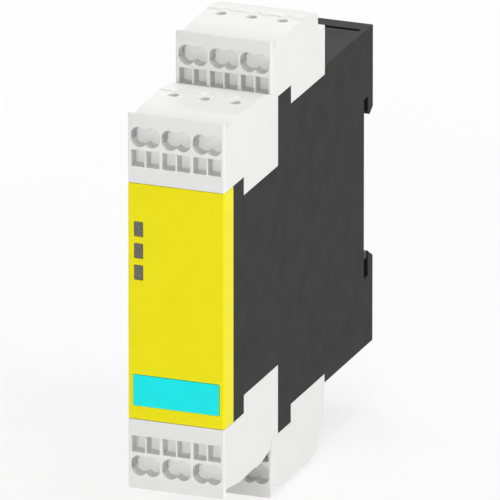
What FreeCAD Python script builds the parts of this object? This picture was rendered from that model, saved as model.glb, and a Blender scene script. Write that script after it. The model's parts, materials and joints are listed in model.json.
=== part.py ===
import FreeCAD, Part
import math
import os

import Sketcher

# Safety relay in a narrow module case that clips to a 35 mm mounting rail.
# Millimetres. X runs across the module, Y from its front to the rail behind it, +Z up.
# The origin is the centre of the rail seat. Outlines are drawn as depth behind the front face and height
# above the middle of the case, and place() moves each finished piece into the origin's frame.

# Driving sizes: name, value, meaning
SIZES = [
    ("module_width", 22.5, "width of the case and of the terminal blocks"),
    ("seat_depth", 86.4, "front face to the rail seat"),
    ("rail_offset", 3.0, "rail centre above the middle of the case"),
    ("wall", 1.4, "moulded wall of the case, covers and blocks"),
    ("seam", 0.1, "clearance between mouldings that slide together"),
    ("front_half", 43.3, "outer edge of the front terminal tier from the middle"),
    ("front_face", 16.0, "height of a front tier face"),
    ("rear_half", 52.9, "outer edge of the rear terminal tier from the middle"),
    ("rear_face", 13.8, "height of a rear tier face"),
    ("rear_tier", 28.9, "depth of the rear tier's faces"),
    ("rear_shoulder", 6.5, "drop of a rear block's shoulder below its outer edge"),
    ("case_half", 36.95, "half height of the case behind the blocks"),
    ("block_depth", 32.9, "face of a block to its back"),
    ("block_top", 28.6, "face of a block to its shoulder"),
    ("skirt_start", 12.0, "face of a block to the front of its skirt"),
    ("skirt_drop", 4.2, "how far the skirt reaches past the face"),
    ("face_land", 0.4, "flat edge on top of a block's face"),
    ("groove_depth", 1.35, "face to the bottom of the groove behind it"),
    ("groove_drop", 2.0, "groove bottom below the outer edge"),
    ("ridge_start", 9.0, "face to the first edge of the top"),
    ("ridge_end", 19.4, "face to the step in the top"),
    ("ridge_drop", 0.9, "top below the outer edge at the first edge"),
    ("step_drop", 0.75, "top below the outer edge behind the step"),
    ("step_height", 0.3, "height of the step in the top"),
    ("rear_drop", 2.4, "top below the outer edge at the shoulder"),
    ("top_radius", 30.0, "radius of the top behind the step"),
    ("face_round", 0.4, "rounding of upright front edges"),
    ("pole_pitch", 7.2, "distance between poles"),
    ("face_wall", 3.2, "thickness of a block's front wall, so depth of its openings"),
    ("entry_drop", 5.34, "centre of the conductor entries below the outer edge"),
    ("entry_radius", 1.9, "radius of a conductor entry"),
    ("entry_shift", 1.48, "conductor entry from the middle of its pole"),
    ("entry_straight", 0.8, "straight stretch of a conductor entry"),
    ("tool_drop", 8.4, "upper edge of the tool openings below the outer edge"),
    ("tool_width", 3.05, "width of a tool opening"),
    ("tool_height", 3.8, "height of a tool opening"),
    ("tool_web", 0.36, "web between the two tool openings of a pole"),
    ("probe_depth", 17.3, "face to the centre of the test holes"),
    ("probe_radius", 1.2, "radius of a test hole"),
    ("notch_radius", 1.2, "radius of the round notch behind a test hole"),
    ("notch_sill", 0.1, "floor of that notch above the foot of the step"),
    ("chamber_drop", 2.9, "top of a block's chamber below the outer edge"),
    ("chamber_tall", 24.0, "face to the end of the chamber's tall part"),
    ("carrier_wall", 1.2, "wall of a clamp carrier"),
    ("carrier_lift", 0.4, "underside of a carrier above the skirt's edge"),
    ("cell_half", 2.9, "half width of a carrier's pole cell"),
    ("bar_drop", 4.8, "outer face of a contact bar below the outer edge"),
    ("bar_start", 7.5, "face to the front end of a contact bar"),
    ("bar_turn", 21.6, "face to the upright leg of a contact bar"),
    ("bar_width", 4.4, "width of a contact bar"),
    ("bar_thickness", 0.8, "thickness of a contact bar"),
    ("bar_lift", 0.8, "end of a contact bar above the skirt's edge"),
    ("fork_depth", 3.6, "depth of the fork in a contact bar"),
    ("spring_width", 5.0, "width of a clamp spring"),
    ("spring_thickness", 0.35, "thickness of a clamp spring"),
    ("spring_gap", 0.1, "clearance between a clamp spring and its contact bar"),
    ("finger_gap", 0.6, "gap between a clamp spring's two fingers"),
    ("finger_root", 6.0, "upright leg of a contact bar to the root of those fingers"),
    ("spring_bottom", 12.0, "lowest run of a clamp spring below the outer edge"),
    ("bend_radius", 1.2, "inner radius of the bends in strip parts"),
    ("blade_thickness", 0.8, "thickness of a contact blade"),
    ("blade_start", 18.6, "face to the front of a contact blade"),
    ("blade_length", 6.0, "length of a contact blade"),
    ("blade_reach", 3.4, "contact blade above the case wall"),
    ("header_height", 3.0, "height of a blade header's base"),
    ("header_margin", 1.5, "header base past its blades, front and back"),
    ("header_half", 9.2, "half width of a header base"),
    ("fork_gap", 0.1, "clearance between a blade and the fork or slot round it"),
    ("cover_depth", 5.7, "depth of the front cover"),
    ("lamp_left", 1.4, "left edge of the case to the indicator windows"),
    ("lamp_width", 2.1, "width of an indicator window"),
    ("lamp_height", 3.45, "height of an indicator window"),
    ("lamp_pitch", 5.0, "distance between indicator windows"),
    ("lamp_drop", 8.9, "cover's upper edge to the first indicator window"),
    ("lamp_set_back", 0.15, "indicator window behind the front face"),
    ("lamp_end", 11.9, "front face to the inner end of an indicator window"),
    ("lamp_gap", 0.05, "clearance round an indicator window and a label plate"),
    ("label_left", 1.2, "left edge of the case to the label plate"),
    ("label_height", 7.2, "height of the label plate's recess"),
    ("label_lift", 3.2, "cover's lower edge to the label plate's recess"),
    ("label_recess", 0.6, "depth of the label plate's recess"),
    ("label_thickness", 0.75, "thickness of the label plate"),
    ("hook_half", 4.0, "half width of a front cover hook"),
    ("hook_thickness", 1.2, "thickness of a front cover hook"),
    ("hook_end", 10.2, "front face to the end of a hook"),
    ("barb_height", 0.8, "height of a hook's barb"),
    ("barb_length", 2.0, "length of a hook's barb"),
    ("rail_groove", 2.5, "width of the groove that takes the rail's edge"),
    ("rail_lip", 3.0, "thickness of the lips behind the rail"),
    ("groove_top", 21.05, "upper end of the rail groove above the middle"),
    ("mouth_top", 17.55, "upper edge of the rail recess above the middle"),
    ("mouth_slope", 0.95, "fall of the upper lip to its lowest edge"),
    ("mouth_land", 0.9, "depth of the upper lip's sloping face"),
    ("mouth_flare", 1.3, "rise of the upper lip's rear chamfer"),
    ("mouth_bottom", 14.95, "lower edge of the rail recess below the middle"),
    ("lip_fall", 1.4, "fall of the lower lip's top face"),
    ("lip_corner", 1.0, "corner radius of the lower lip"),
    ("slot_bottom", 20.85, "lower end of the latch's side slot below the middle"),
    ("vent_width", 1.2, "width of the slot in the top of the case"),
    ("vent_depth", 7.5, "depth of that slot"),
    ("channel_half", 8.75, "half width of the latch channel"),
    ("mouth_half", 6.2, "half width of the latch channel's rear opening"),
    ("latch_gap", 0.15, "clearance of the latch in its channel"),
    ("latch_reach", 0.4, "latch inside the case's rear face"),
    ("nose_top", 12.9, "top of the latch nose below the middle"),
    ("nose_start", 1.5, "rail seat to the front of the latch nose"),
    ("nose_land", 0.8, "flat top of the latch nose"),
    ("nose_fall", 3.3, "fall of the latch nose's lead-in face"),
    ("lug_height", 1.6, "height of the latch's side lugs"),
    ("lug_set_back", 0.25, "side lug inside the case's side face"),
    ("tab_end", 40.2, "lower end of the latch's release tab below the middle"),
    ("release_half", 4.5, "half width of the release tab"),
    ("pry_half", 2.5, "half width of the release tab's screwdriver slot"),
    ("pry_height", 1.4, "height of the release tab's screwdriver slot"),
    ("pry_margin", 1.0, "material below the screwdriver slot"),
    ("window_half", 2.3, "half width of the latch's spring window"),
    ("window_top", 20.4, "upper end of the spring window below the middle"),
    ("meander_length", 9.6, "length of the latch spring at rest"),
    ("meander_strip", 0.4, "thickness of the latch spring's strip"),
    ("meander_half", 2.05, "half width of the latch spring"),
    ("meander_start", 0.9, "rail seat to the latch spring"),
    ("meander_width", 2.6, "width of the latch spring's strip"),
    ("meander_gap", 0.05, "clearance at each end of the latch spring"),
    ("keeper_start", 3.7, "rail seat to the keepers behind the latch spring"),
    ("keeper_height", 1.2, "height of those keepers"),
    ("boss_height", 2.0, "height of the boss under the latch spring"),
    ("boss_half", 2.0, "half width of that boss"),
    ("board_thickness", 1.6, "thickness of both boards"),
    ("main_left", 3.65, "left face of the case to the main board"),
    ("board_gap", 0.1, "clearance round the boards"),
    ("board_front", 12.0, "front face to the main board"),
    ("board_set_back", 0.6, "case's rear wall to the back of both boards"),
    ("rib_thickness", 1.2, "ribs that hold the main board"),
    ("rib_overlap", 1.0, "how far a rib covers the main board's edge"),
    ("rest_height", 0.7, "height of the ribs between the control board and the case"),
    ("rest_half", 0.8, "half width of those ribs"),
    ("control_start", 38.0, "front face to the control board"),
    ("control_gap", 1.4, "control board's edge within the blade headers of the rear tier"),
    ("control_margin", 4.0, "control board's edge to those ribs"),
    ("relay_height", 12.4, "height of a safety relay above the board"),
    ("relay_front", 6.7, "case's step to the front of the safety relays"),
    ("relay_back", 3.4, "back of the safety relays to the board's back edge"),
    ("relay_low", 0.5, "lower safety relay above the middle"),
    ("relay_gap", 1.5, "gap between the safety relays"),
    ("relay_room", 2.4, "upper safety relay to the blade header above it"),
    ("relay_base", 1.6, "height of a safety relay's base"),
    ("relay_lip", 0.4, "relay base past its cap"),
    ("relay_chamfer", 0.8, "chamfer on a relay's cap"),
    ("can_height", 12.5, "height of a supply capacitor"),
    ("can_front", 8.7, "case's step to the first capacitor"),
    ("can_gap", 1.5, "gap between the capacitors and to the transformer"),
    ("can_drop", 10.0, "capacitors' axes below the middle"),
    ("core_room", 3.4, "transformer to the blade header below it"),
    ("core_leg", 3.0, "thickness of the core's legs"),
    ("core_height", 11.0, "height of the transformer's core"),
    ("core_back", 2.4, "back of the transformer to the board's back edge"),
    ("core_drop", 13.0, "transformer's upper edge below the middle"),
    ("coil_margin", 0.8, "winding inside the core's ends"),
    ("chip_side", 7.0, "side of a processor"),
    ("chip_height", 1.2, "height of a processor"),
    ("chip_start", 44.0, "front face to the first processor"),
    ("chip_pitch", 11.0, "distance between the processors"),
    ("chip_margin", 1.5, "processors' lower edge to the control board's edge"),
    ("plug_start", 38.6, "front face to the board connector"),
    ("plug_depth", 2.4, "depth of the board connector"),
    ("plug_height", 14.0, "height of the board connector"),
    ("plug_drop", 1.5, "board connector's upper edge below the middle"),
    ("led_height", 2.0, "height of an indicator lamp"),
    ("led_depth", 1.6, "depth of an indicator lamp"),
    ("led_thickness", 1.4, "indicator lamp above the board"),
]

doc = FreeCAD.newDocument("SafetyRelay")


class Size:
    """A length, with the expression that ties it to the sheet."""

    def __init__(self, value, text):
        self.value = float(value)
        self.text = text

    def __add__(self, other):
        other = as_size(other)
        return Size(self.value + other.value, f"({self.text} + {other.text})")

    def __sub__(self, other):
        other = as_size(other)
        return Size(self.value - other.value, f"({self.text} - {other.text})")

    def __mul__(self, other):
        other = as_size(other)
        return Size(self.value * other.value, f"({self.text} * {other.text})")

    def __truediv__(self, other):
        other = as_size(other)
        return Size(self.value / other.value, f"({self.text} / {other.text})")

    def __neg__(self):
        return Size(-self.value, f"(-1 * {self.text})")


def as_size(value):
    return value if isinstance(value, Size) else Size(value, f"({float(value):.6f})")


def make_sheet():
    """Writes the driving sizes into the sheet and returns them by name."""
    sheet = doc.addObject("Spreadsheet::Sheet", "Sizes")
    named = {}
    for row, (name, value, meaning) in enumerate(SIZES, start=1):
        sheet.set(f"A{row}", meaning)
        sheet.set(f"B{row}", str(value))
        sheet.setAlias(f"B{row}", name)
        named[name] = Size(value, f"Sizes.{name}")
    doc.recompute()
    return named


class Named:
    """The driving sizes as attributes."""

    def __init__(self, sizes):
        self.__dict__.update(sizes)


s = Named(make_sheet())

half = s.module_width / 2
cover_half = s.front_half - s.front_face
rear_inner = s.rear_half - s.rear_face
front_skirt = cover_half - s.skirt_drop
rear_skirt = rear_inner - s.skirt_drop
rear_back = s.rear_tier + s.block_depth
case_depth = s.seat_depth + s.rail_groove + s.rail_lip
board_back = s.seat_depth - s.wall - s.board_set_back
tray_left = -(half - s.wall)
tray_right = half - s.wall
POLES = [-s.pole_pitch, as_size(0), s.pole_pitch]


class Tier:
    """One tier of terminal blocks: its face's depth, outer edge, face height and shoulder."""

    def __init__(self, face, edge, face_height, shoulder):
        self.face = face
        self.edge = edge
        self.inner = edge - face_height
        self.skirt = edge - face_height - s.skirt_drop
        self.shoulder = edge - shoulder


TIERS = {
    "front": Tier(as_size(0), s.front_half, s.front_face, s.front_half - rear_inner),
    "rear": Tier(s.rear_tier, s.rear_half, s.rear_face, s.rear_shoulder),
}
ROWS = {"upper": 0, "lower": 180}

# Sketching and building

PLANES = {"side": ("YZ_Plane", 1), "top": ("XY_Plane", 1), "front": ("XZ_Plane", -1)}


def bind(thing, path, value):
    """Ties a property to the sheet."""
    thing.setExpression(path, as_size(value).text)


def rectangle(across_a, up_a, across_b, up_b):
    return [(across_a, up_a), (across_b, up_a), (across_b, up_b), (across_a, up_b)]


def circle(across, up, radius):
    return {"across": across, "up": up, "radius": radius, "straight": None}


def slot(across, up, radius, straight):
    """An upright slot with round ends, centred at the given point."""
    return {"across": across, "up": up, "radius": radius, "straight": straight}


def point(across, up):
    return FreeCAD.Vector(as_size(across).value, as_size(up).value, 0)


def pin_point(sketch, geometry, position, across, up):
    """Ties a point of the sketch to its distances from the origin."""
    for kind, value in (("DistanceX", as_size(across)), ("DistanceY", as_size(up))):
        number = sketch.addConstraint(
            Sketcher.Constraint(kind, -1, 1, geometry, position, value.value)
        )
        bind(sketch, f"Constraints[{number}]", value)


def arc_between(start, end, radius):
    """The shorter arc from start to end, turning clockwise, with its centre."""
    chord = end - start
    middle = (start + end) * 0.5
    rise = math.sqrt(radius**2 - (chord.Length / 2) ** 2)
    towards = FreeCAD.Vector(chord.y, -chord.x, 0).normalize()
    centre = middle + towards * rise
    begin = math.atan2(end.y - centre.y, end.x - centre.x)
    finish = math.atan2(start.y - centre.y, start.x - centre.x)
    round_edge = Part.Circle(centre, FreeCAD.Vector(0, 0, 1), radius)
    return Part.ArcOfCircle(round_edge, begin, finish)


def draw_corners(sketch, corners):
    """Draws a closed outline. A corner with a third value starts an arc of that radius, turning clockwise."""
    first = sketch.GeometryCount
    starts, ends = [], []
    for index, corner in enumerate(corners):
        here = point(*corner[:2])
        there = point(*corners[(index + 1) % len(corners)][:2])
        if len(corner) == 3:
            sketch.addGeometry(arc_between(here, there, corner[2].value), False)
            starts.append(2)
            ends.append(1)
        else:
            sketch.addGeometry(Part.LineSegment(here, there), False)
            starts.append(1)
            ends.append(2)
    for index, corner in enumerate(corners):
        following = (index + 1) % len(corners)
        sketch.addConstraint(
            Sketcher.Constraint(
                "Coincident", first + index, ends[index], first + following, starts[following]
            )
        )
        pin_point(sketch, first + index, starts[index], *corner[:2])
        if len(corner) == 3:
            number = sketch.addConstraint(
                Sketcher.Constraint("Radius", first + index, corner[2].value)
            )
            bind(sketch, f"Constraints[{number}]", corner[2])


def draw_circle(sketch, shape):
    centre = point(shape["across"], shape["up"])
    radius = as_size(shape["radius"])
    number = sketch.addGeometry(Part.Circle(centre, FreeCAD.Vector(0, 0, 1), radius.value), False)
    pin_point(sketch, number, 3, shape["across"], shape["up"])
    tie = sketch.addConstraint(Sketcher.Constraint("Radius", number, radius.value))
    bind(sketch, f"Constraints[{tie}]", radius)


def draw_slot(sketch, shape):
    """Two half circles joined by two upright lines."""
    across, radius = as_size(shape["across"]), as_size(shape["radius"])
    low = as_size(shape["up"]) - as_size(shape["straight"]) / 2
    high = as_size(shape["up"]) + as_size(shape["straight"]) / 2
    normal = FreeCAD.Vector(0, 0, 1)
    first = sketch.GeometryCount
    upper = Part.Circle(point(across, high), normal, radius.value)
    lower = Part.Circle(point(across, low), normal, radius.value)
    sketch.addGeometry(Part.ArcOfCircle(upper, 0, math.pi), False)
    sketch.addGeometry(Part.ArcOfCircle(lower, math.pi, 2 * math.pi), False)
    for side in (across - radius, across + radius):
        sketch.addGeometry(Part.LineSegment(point(side, low), point(side, high)), False)
    for arc, end, line, line_end in ((0, 2, 2, 2), (0, 1, 3, 2), (1, 1, 2, 1), (1, 2, 3, 1)):
        sketch.addConstraint(
            Sketcher.Constraint("Tangent", first + arc, end, first + line, line_end)
        )
    pin_point(sketch, first, 3, across, high)
    pin_point(sketch, first + 1, 3, across, low)
    tie = sketch.addConstraint(Sketcher.Constraint("Radius", first, radius.value))
    bind(sketch, f"Constraints[{tie}]", radius)


def draw(sketch, shape):
    if isinstance(shape, list):
        draw_corners(sketch, shape)
    elif shape["straight"] is None:
        draw_circle(sketch, shape)
    else:
        draw_slot(sketch, shape)


def origin_feature(body, role):
    return [f for f in body.Origin.OriginFeatures if f.Role == role][0]


def sketch_on(body, plane, level, shapes):
    """A sketch at a level along a plane's axis, with the given outlines in it."""
    role, sign = PLANES[plane]
    sketch = body.newObject("Sketcher::SketchObject", "Outline")
    sketch.AttachmentSupport = [(origin_feature(body, role), "")]
    sketch.MapMode = "FlatFace"
    bind(sketch, "AttachmentOffset.Base.z", as_size(level) * sign)
    for shape in shapes:
        draw(sketch, shape)
    return sketch


def extrude(body, kind, plane, start, end, shapes):
    sketch = sketch_on(body, plane, start, shapes)
    feature = body.newObject(f"PartDesign::{kind}", kind)
    feature.Profile = sketch
    bind(feature, "Length", as_size(end) - as_size(start))
    backwards = PLANES[plane][1] < 0
    feature.Reversed = backwards if kind == "Pad" else not backwards
    return feature


def pad(body, plane, start, end, *shapes):
    """Adds material from start to end along the plane's axis."""
    return extrude(body, "Pad", plane, start, end, shapes)


def cut(body, plane, start, end, *shapes):
    """Removes material from start to end along the plane's axis."""
    return extrude(body, "Pocket", plane, start, end, shapes)


def pad_box(body, x, y, z):
    return pad(body, "top", z[0], z[1], rectangle(x[0], y[0], x[1], y[1]))


def cut_box(body, x, y, z):
    return cut(body, "top", z[0], z[1], rectangle(x[0], y[0], x[1], y[1]))


def round_edges(body, radius, chosen, kind="Fillet"):
    """Rounds or chamfers the edges of the last feature that chosen() picks."""
    doc.recompute()
    base = body.Tip
    names = [f"Edge{n}" for n, edge in enumerate(base.Shape.Edges, start=1) if chosen(edge)]
    feature = body.newObject(f"PartDesign::{kind}", kind)
    feature.Base = (base, names)
    bind(feature, "Radius" if kind == "Fillet" else "Size", radius)
    return feature


def near(value, size):
    return abs(value - as_size(size).value) < 0.01


def upright_at(edge, y):
    """True for an edge along Z at the given depth."""
    box = edge.BoundBox
    return box.ZLength > 1 and box.XLength < 0.01 and near(box.YMin, y) and near(box.YMax, y)


def new_body(label):
    body = doc.addObject("PartDesign::Body", label)
    body.Label = label
    return body


pieces = []


def place(piece, turn=0):
    """Moves a finished piece into the origin's frame, turned about the middle of the case."""
    piece.Placement = FreeCAD.Placement(
        FreeCAD.Vector(0, -s.seat_depth.value, -s.rail_offset.value),
        FreeCAD.Rotation(FreeCAD.Vector(0, 1, 0), turn),
    )
    bind(piece, "Placement.Base.y", -s.seat_depth)
    bind(piece, "Placement.Base.z", -s.rail_offset)
    pieces.append(piece)


def solids_piece(label, solids, turn=0):
    """A piece made of separate like solids."""
    piece = doc.addObject("Part::Feature", label)
    piece.Label = label
    piece.Shape = solids[0] if len(solids) == 1 else Part.makeCompound(solids)
    place(piece, turn)
    return piece


def bent_strip(corners, thickness, width, centre):
    """A strip of sheet bent along a path of (depth, height) corners, centred across at centre."""
    middle = s.bend_radius.value + thickness.value / 2
    left = (as_size(centre) - width / 2).value
    path = [FreeCAD.Vector(left, as_size(y).value, as_size(z).value) for y, z in corners]
    edges, start = [], path[0]
    for before, bend, after in zip(path, path[1:], path[2:]):
        incoming = (bend - before).normalize()
        outgoing = (after - bend).normalize()
        turn = incoming.getAngle(outgoing)
        reach = middle * math.tan(turn / 2)
        entry, leave = bend - incoming * reach, bend + outgoing * reach
        inward = (outgoing - incoming).normalize()
        crown = bend + inward * (middle / math.cos(turn / 2) - middle)
        edges += [Part.makeLine(start, entry), Part.Arc(entry, crown, leave).toShape()]
        start = leave
    edges.append(Part.makeLine(start, path[-1]))
    return strip_along(edges, thickness, FreeCAD.Vector(width.value, 0, 0))


def strip_along(edges, thickness, across):
    """A strip whose middle follows flat edges, and which is as wide as the vector across."""
    wire = Part.Wire(edges)
    halves = [wire.makeOffset2D(side * thickness.value / 2, 0, True, True) for side in (-1, 1)]
    return halves[0].fuse(halves[1]).removeSplitter().Faces[0].extrude(across)


# Case

def case_outline():
    """The case seen from its right side, with the steps for the blocks and the rail recess."""
    groove = s.seat_depth + s.rail_groove
    lip_low = s.mouth_top - s.mouth_slope
    lip_edge = groove + s.mouth_land
    corner_top = -(s.mouth_bottom + s.lip_fall)
    return [
        (s.cover_depth, cover_half),
        (s.skirt_start, cover_half),
        (s.skirt_start, front_skirt),
        (s.block_depth, front_skirt),
        (s.block_depth, rear_inner),
        (s.rear_tier + s.skirt_start, rear_inner),
        (s.rear_tier + s.skirt_start, rear_skirt),
        (rear_back, rear_skirt),
        (rear_back, s.case_half),
        (case_depth, s.case_half),
        (case_depth, lip_low + s.mouth_flare),
        (lip_edge, lip_low),
        (groove, s.mouth_top),
        (groove, s.groove_top),
        (s.seat_depth, s.groove_top),
        (s.seat_depth, -s.slot_bottom),
        (groove, -s.slot_bottom),
        (groove, -s.mouth_bottom),
        (case_depth - s.lip_corner, corner_top, s.lip_corner),
        (case_depth, corner_top - s.lip_corner),
        (case_depth, -s.case_half),
        (rear_back, -s.case_half),
        (rear_back, -rear_skirt),
        (s.rear_tier + s.skirt_start, -rear_skirt),
        (s.rear_tier + s.skirt_start, -rear_inner),
        (s.block_depth, -rear_inner),
        (s.block_depth, -front_skirt),
        (s.skirt_start, -front_skirt),
        (s.skirt_start, -cover_half),
        (s.cover_depth, -cover_half),
    ]


def cavity_outline():
    """The inside of the case, one wall within its outline and open to the front."""
    upper = [
        (s.cover_depth - 1, cover_half - s.wall),
        (s.skirt_start - s.wall, cover_half - s.wall),
        (s.skirt_start - s.wall, front_skirt - s.wall),
        (s.block_depth + s.wall, front_skirt - s.wall),
        (s.block_depth + s.wall, rear_inner - s.wall),
        (s.rear_tier + s.skirt_start - s.wall, rear_inner - s.wall),
        (s.rear_tier + s.skirt_start - s.wall, rear_skirt - s.wall),
        (rear_back + s.wall, rear_skirt - s.wall),
        (rear_back + s.wall, s.case_half - s.wall),
        (s.seat_depth - s.wall, s.case_half - s.wall),
    ]
    return upper + [(y, -z) for y, z in reversed(upper)]


def blade_slots(tier):
    """Slots in a case wall for the contact blades of a tier."""
    start = tier.face + s.blade_start - s.fork_gap
    end = tier.face + s.blade_start + s.blade_length + s.fork_gap
    reach = s.blade_thickness / 2 + s.fork_gap
    return [rectangle(pole - reach, start, pole + reach, end) for pole in POLES]


def board_ribs(body, x):
    """Ribs inside the case that hold the main board's edges, above and below."""
    front = (s.block_depth + s.wall, s.rear_tier + s.skirt_start - s.wall)
    back = (rear_back + s.wall, s.seat_depth - s.wall)
    inner = board_half() - s.rib_overlap
    for depth, outer in ((front, rear_inner - s.wall), (back, s.case_half - s.wall)):
        pad_box(body, x, depth, (inner, outer))
        pad_box(body, x, depth, (-outer, -inner))


def make_housing():
    body = new_body("housing")
    pad(body, "side", tray_left, half, case_outline())
    cut(body, "side", tray_left, tray_right, cavity_outline())
    for tier in TIERS.values():
        cut(body, "top", -tier.skirt, tier.skirt, *blade_slots(tier))
    # Slot across the top, close to the back
    vent = (s.seat_depth, s.seat_depth + s.vent_width)
    cut_box(body, (tray_left, tray_right), vent, (s.case_half - s.vent_depth, s.case_half))
    # Channel for the rail latch: a wide guide behind the seat and a narrower mouth
    groove = s.seat_depth + s.rail_groove
    channel = (-s.case_half, -s.slot_bottom)
    cut_box(body, (-s.channel_half, s.channel_half), (s.seat_depth, groove), channel)
    cut_box(body, (-s.mouth_half, s.mouth_half), (groove, case_depth), (-s.case_half, -s.mouth_bottom))
    # Boss under the latch spring, with a keeper behind it
    boss_top = -(s.window_top + s.meander_length)
    boss_low = boss_top - s.boss_height
    boss_end = case_depth - s.latch_reach
    boss = [
        (s.seat_depth, boss_low),
        (boss_end, boss_low),
        (boss_end, boss_top + s.keeper_height),
        (s.seat_depth + s.keeper_start, boss_top + s.keeper_height),
        (s.seat_depth + s.keeper_start, boss_top),
        (s.seat_depth, boss_top),
    ]
    pad(body, "side", -s.boss_half, s.boss_half, boss)
    # Windows for the front cover's hooks
    window = (s.hook_end - s.barb_length - s.seam, s.hook_end + s.seam)
    reach = s.hook_half + s.seam
    cut_box(body, (-reach, reach), window, (cover_half - s.wall, cover_half))
    cut_box(body, (-reach, reach), window, (-cover_half, s.wall - cover_half))
    # Ribs right of the main board, and those that carry the control board
    board_ribs(body, (main_right() + s.board_gap, main_right() + s.board_gap + s.rib_thickness))
    pad(body, "side", tray_right - s.rest_height, tray_right, *control_rests())
    place(body)


def make_side_cover():
    body = new_body("side_cover")
    pad(body, "side", -half, tray_left, case_outline())
    board_ribs(body, (tray_left, main_left() - s.board_gap))
    place(body)


# Front cover, label plate and indicator windows

def lamp_heights():
    """Centre heights of the indicator windows."""
    first = cover_half - s.lamp_drop - s.lamp_height / 2
    return [first - s.lamp_pitch * n for n in range(3)]


def label_place():
    """Left, bottom, right and top of the label plate's recess."""
    left = s.label_left - half
    bottom = s.label_lift - cover_half
    return left, bottom, -left, bottom + s.label_height


def make_front_cover():
    body = new_body("front_cover")
    outer = cover_half - s.seam
    inner = outer - s.wall
    pad(body, "front", 0, s.cover_depth, rectangle(-half, -outer, half, outer))
    round_edges(body, s.face_round, lambda edge: upright_at(edge, 0))
    cut(body, "front", s.wall, s.cover_depth, rectangle(tray_left, -inner, tray_right, inner))
    left = s.lamp_left - half
    windows = [
        rectangle(left, z - s.lamp_height / 2, left + s.lamp_width, z + s.lamp_height / 2)
        for z in lamp_heights()
    ]
    cut(body, "front", 0, s.wall, *windows)
    cut(body, "front", 0, s.label_recess, rectangle(*label_place()))
    # A hook above and below, each with a barb for its window in the case
    top = cover_half - s.wall - s.seam
    low = top - s.hook_thickness
    hook = [
        (s.wall, top),
        (s.hook_end - s.barb_length, top),
        (s.hook_end - s.barb_length, top + s.barb_height),
        (s.hook_end, top),
        (s.hook_end, low),
        (s.wall, low),
    ]
    pad(body, "side", -s.hook_half, s.hook_half, hook)
    pad(body, "side", -s.hook_half, s.hook_half, [(y, -z) for y, z in hook])
    place(body)


def make_label_plate():
    body = new_body("label_plate")
    left, bottom, right, top = label_place()
    plate = rectangle(left + s.lamp_gap, bottom + s.lamp_gap, right - s.lamp_gap, top - s.lamp_gap)
    pad(body, "front", s.label_recess - s.label_thickness, s.label_recess, plate)
    place(body)


def make_indicator_windows():
    for number, centre in enumerate(lamp_heights(), start=1):
        body = new_body(f"indicator_window_{number}")
        left = s.lamp_left - half + s.lamp_gap
        right = s.lamp_left - half + s.lamp_width - s.lamp_gap
        reach = s.lamp_height / 2 - s.lamp_gap
        bar = rectangle(left, centre - reach, right, centre + reach)
        pad(body, "front", s.lamp_set_back, s.lamp_end, bar)
        # Collar that stops the window behind the front wall
        collar = s.lamp_gap * 6
        stop = rectangle(left, centre - reach - collar, right + collar, centre + reach + collar)
        pad(body, "front", s.wall, s.wall + collar * 2, stop)
        place(body)


# Terminal blocks and what they hold

def make_terminal_block(row, depth_name):
    tier = TIERS[depth_name]
    face, edge = tier.face, tier.edge
    body = new_body(f"terminal_block_{row}_{depth_name}")
    outline = [
        (face, edge),
        (face + s.face_land, edge),
        (face + s.groove_depth, edge - s.groove_drop),
        (face + s.ridge_start, edge - s.ridge_drop),
        (face + s.ridge_end, edge - s.step_drop - s.step_height),
        (face + s.ridge_end, edge - s.step_drop, s.top_radius),
        (face + s.block_top, edge - s.rear_drop),
        (face + s.block_top, tier.shoulder),
        (face + s.block_depth, tier.shoulder),
        (face + s.block_depth, tier.skirt),
        (face + s.skirt_start, tier.skirt),
        (face + s.skirt_start, tier.inner),
        (face, tier.inner),
    ]
    pad(body, "side", -half, half, outline)
    round_edges(body, s.face_round, lambda edge_: upright_at(edge_, face))
    # Chamber for the clamp carrier, open towards the case
    chamber = [
        (face + s.face_wall, edge - s.chamber_drop),
        (face + s.chamber_tall, edge - s.chamber_drop),
        (face + s.chamber_tall, tier.shoulder - s.wall),
        (face + s.block_depth - s.wall, tier.shoulder - s.wall),
        (face + s.block_depth - s.wall, tier.skirt),
        (face + s.skirt_start + s.wall, tier.skirt),
        (face + s.skirt_start + s.wall, tier.inner + s.wall),
        (face + s.face_wall, tier.inner + s.wall),
    ]
    cut(body, "side", tray_left, tray_right, chamber)
    # Conductor entries: two round funnels that run together at each pole
    for side in (-1, 1):
        entries = [
            slot(pole + s.entry_shift * side, edge - s.entry_drop, s.entry_radius, s.entry_straight)
            for pole in POLES
        ]
        cut(body, "front", face, face + s.face_wall, *entries)
    # Tool openings: two at each pole
    tools = []
    for pole in POLES:
        for side in (-1, 1):
            near_side = pole + s.tool_web / 2 * side
            far_side = pole + (s.tool_web / 2 + s.tool_width) * side
            low, high = edge - s.tool_drop - s.tool_height, edge - s.tool_drop
            left, right = (far_side, near_side) if side < 0 else (near_side, far_side)
            tools.append(rectangle(left, low, right, high))
    cut(body, "front", face, face + s.face_wall, *tools)
    # Test holes in the top, with a notch in the step behind each
    holes = [circle(pole, face + s.probe_depth, s.probe_radius) for pole in POLES]
    cut(body, "top", edge - s.chamber_drop, edge, *holes)
    notches = [circle(pole, face + s.ridge_end, s.notch_radius) for pole in POLES]
    cut(body, "top", edge - s.step_drop - s.step_height + s.notch_sill, edge, *notches)
    place(body, ROWS[row])


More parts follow.
